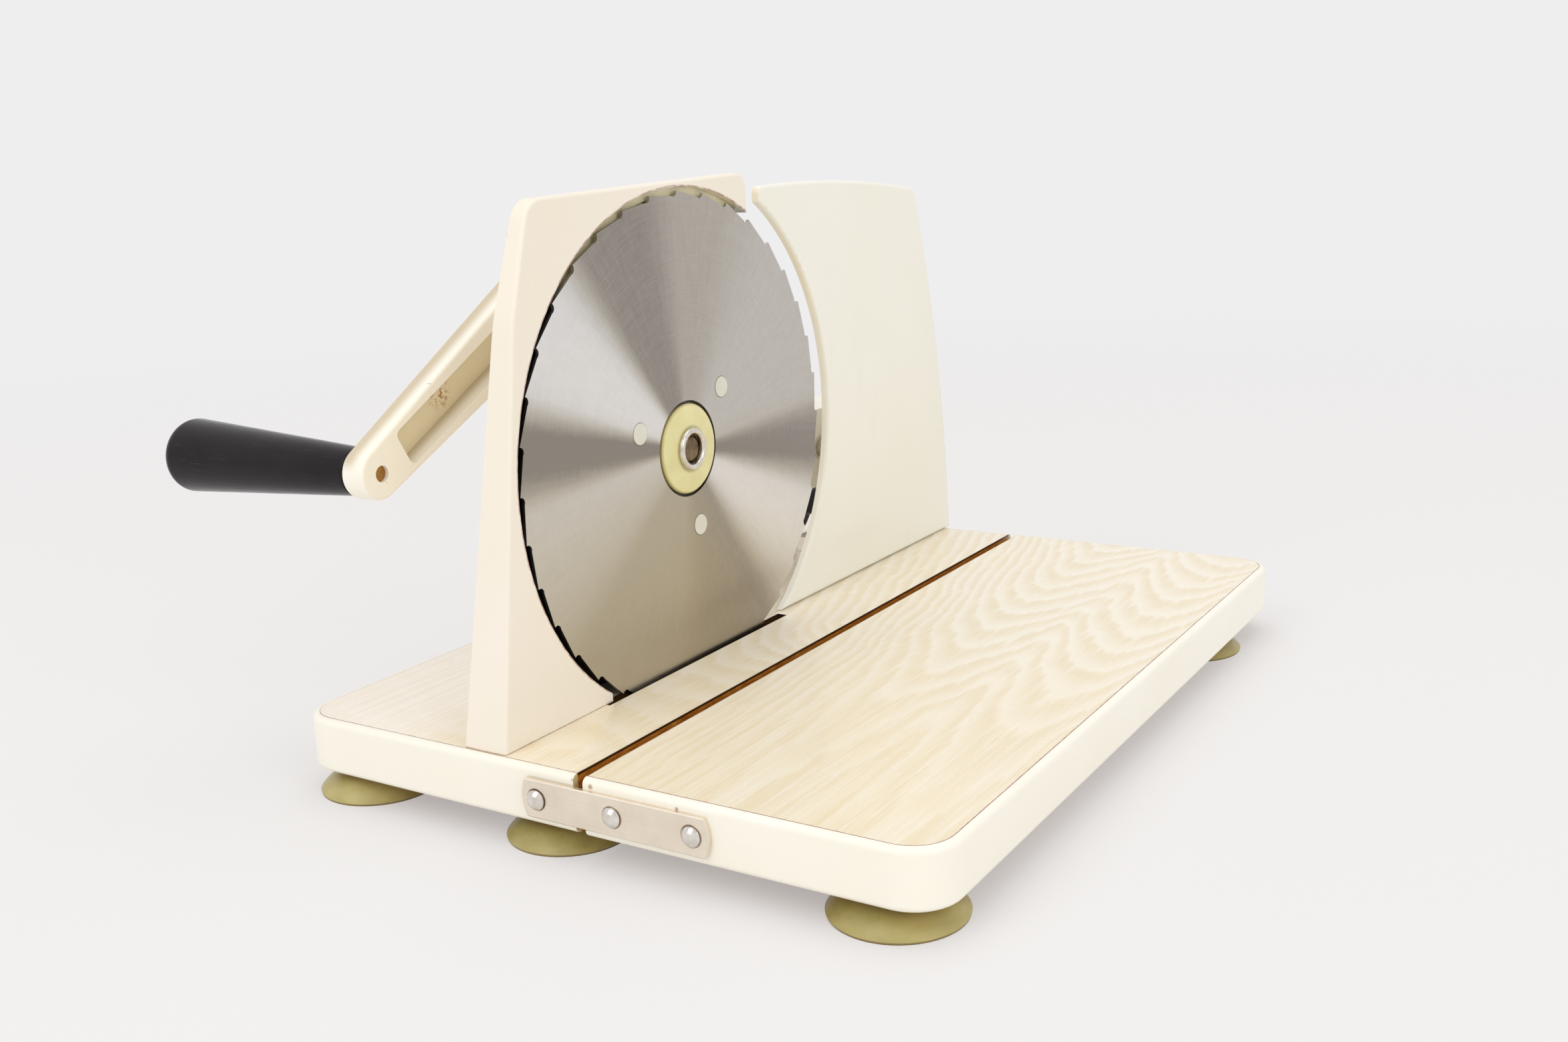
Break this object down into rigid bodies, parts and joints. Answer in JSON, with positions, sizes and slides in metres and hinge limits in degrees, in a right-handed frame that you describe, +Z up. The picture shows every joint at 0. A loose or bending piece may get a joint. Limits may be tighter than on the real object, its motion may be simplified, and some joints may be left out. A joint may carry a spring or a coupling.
{
  "type": "hand cranked bread slicer",
  "caption": "Folding bread slicer: crank-driven toothed disc blade in a cream housing, sliding stop plate, laminated board on suction cups and a hinged feed board.",
  "frame": {"origin": "on the table plane under the suction cups, below the middle of the object's box: x = 0 is the front face of the blade and y = 0 the middle of the boards' depth", "axes": "+Z up; +X from the blade towards the feed board, the crank's axis lies along X with the handle at -X; +Y along the boards, from the end where the blade is to the end where the stop plate is"},
  "size_m": [0.3206, 0.3506, 0.2119],
  "materials": {
    "board_core": "pressed board, varnished cut face",
    "board_laminate": "satin laminate with a pale ash grain",
    "edge_band": "satin rounded plastic band",
    "cup_rubber": "translucent soft rubber, slightly glossy",
    "screw_steel": "nickel-plated steel",
    "strip_steel": "satin nickel-plated steel strip",
    "blade_steel": "finely turned stainless steel",
    "hub_steel": "polished steel",
    "cream_plastic": "semi-gloss moulded cream plastic",
    "arm_plastic": "semi-gloss moulded cream plastic",
    "white_nylon": "matt white nylon",
    "yellow_nylon": "matt yellowed nylon",
    "bearing_bronze": "sintered bronze",
    "black_plastic": "glossy black plastic with fine scuffs"
  },
  "bodies": {
    "root": {"machine_board_core": "board_core", "machine_board_laminate": "board_laminate", "machine_board_edge_band": "edge_band", "machine_board_suction_cups": "cup_rubber", "machine_board_cup_screws": "screw_steel", "hinge_pivot_screws": "screw_steel", "housing_front_shell": "cream_plastic", "housing_rear_cover": "cream_plastic", "housing_cover_screws": "screw_steel", "housing_base_screws": "screw_steel", "blade_axle": "screw_steel", "axle_clip": "screw_steel", "axle_washer": "screw_steel", "axle_nut": "screw_steel", "blade_thrust_washer": "white_nylon", "crank_bush": "bearing_bronze", "plate_bracket": "cream_plastic", "bracket_foot_screws": "screw_steel", "guide_rod_bushes": "white_nylon"},
    "feed_board": {"feed_board_core": "board_core", "feed_board_laminate": "board_laminate", "feed_board_edge_band": "edge_band", "feed_board_suction_cups": "cup_rubber", "feed_board_cup_screws": "screw_steel", "front_hinge_strip": "strip_steel", "rear_hinge_strip": "strip_steel", "hinge_fixing_screws": "screw_steel"},
    "blade": {"blade": "blade_steel", "blade_drive_gear": "white_nylon", "hub_disc": "yellow_nylon", "hub_sleeve": "hub_steel"},
    "crank": {"crank_shaft": "hub_steel", "crank_gear": "white_nylon", "crank_arm": "arm_plastic", "crank_thrust_washer": "white_nylon", "crank_arm_washer": "screw_steel", "crank_arm_screw": "screw_steel", "handle_pin": "bearing_bronze"},
    "handle": {"handle_grip": "black_plastic"},
    "stop_plate": {"stop_plate": "cream_plastic", "plate_guide_rods": "hub_steel", "spindle_nut": "bearing_bronze"},
    "knob": {"adjuster_spindle": "screw_steel", "spindle_clip": "screw_steel", "adjuster_knob": "black_plastic", "knob_screw": "screw_steel"}
  },
  "joints": [
    {"name": "feed_board_fold", "type": "hinge", "parent": "root", "child": "feed_board", "pos_m": [0.0173, 0, 0.0198], "axis": [0, -1, 0], "range_deg": [0, 90]},
    {"name": "blade_spin", "type": "hinge", "parent": "root", "child": "blade", "pos_m": [0, -0.0546, 0.112], "axis": [1, 0, 0], "continuous": true},
    {"name": "crank_turn", "type": "hinge", "parent": "root", "child": "crank", "pos_m": [0, -0.06426, 0.16513], "axis": [1, 0, 0], "continuous": true},
    {"name": "handle_spin", "type": "hinge", "parent": "crank", "child": "handle", "pos_m": [0, -0.15189, 0.11695], "axis": [1, 0, 0], "continuous": true},
    {"name": "stop_plate_slide", "type": "slide", "parent": "root", "child": "stop_plate", "axis": [-1, 0, 0], "range_m": [-0.002, 0.01]},
    {"name": "thickness_knob_turn", "type": "hinge", "parent": "root", "child": "knob", "pos_m": [0, 0.1084, 0.0535], "axis": [-1, 0, 0], "range_deg": [-46, 226]}
  ],
  "couplings": [
    {"joint": "crank_turn", "follows": "blade_spin", "ratio": -0.5},
    {"joint": "thickness_knob_turn", "follows": "stop_plate_slide", "rad_per_m": 392.7}
  ]
}
